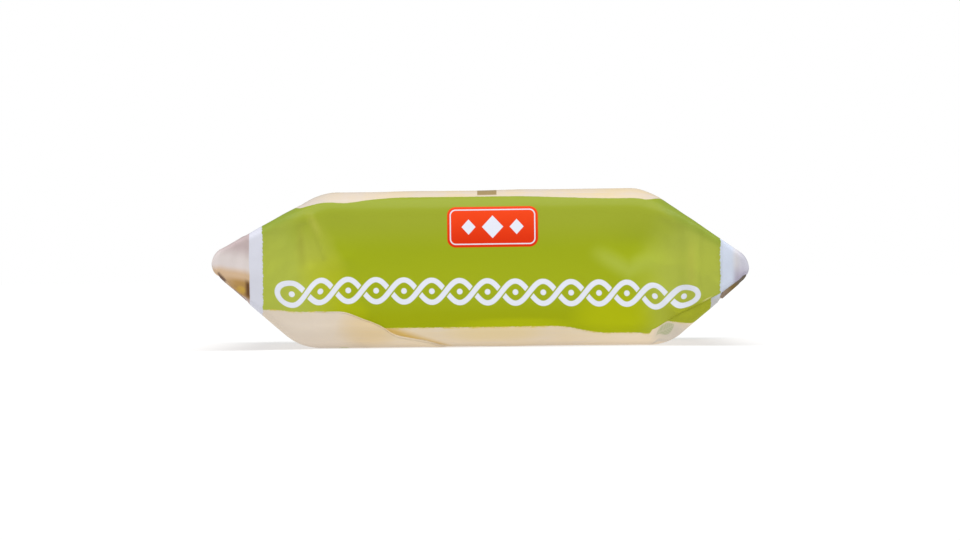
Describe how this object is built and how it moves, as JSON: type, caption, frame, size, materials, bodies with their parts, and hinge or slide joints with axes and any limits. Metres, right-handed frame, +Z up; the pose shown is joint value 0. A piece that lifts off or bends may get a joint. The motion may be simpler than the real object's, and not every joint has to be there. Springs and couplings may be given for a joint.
{
  "type": "wrapped block of pasta filata cheese",
  "caption": "Low block of pasta filata cheese in printed flow-wrap film, lying on its broad face, with sloping ends that flare into flat ears and a flat seam along the top.",
  "frame": {"origin": "under the middle of the pack, on the surface that its broad face rests on", "axes": "+X along the pack from one end seal to the other, +Z up through the block, -Y towards the long side that the picture shows"},
  "size_m": [0.158, 0.1154, 0.0474],
  "materials": {
    "printed_film": "satin printed film"
  },
  "bodies": {
    "root": {"wrapped_cheese": "printed_film"}
  },
  "joints": []
}
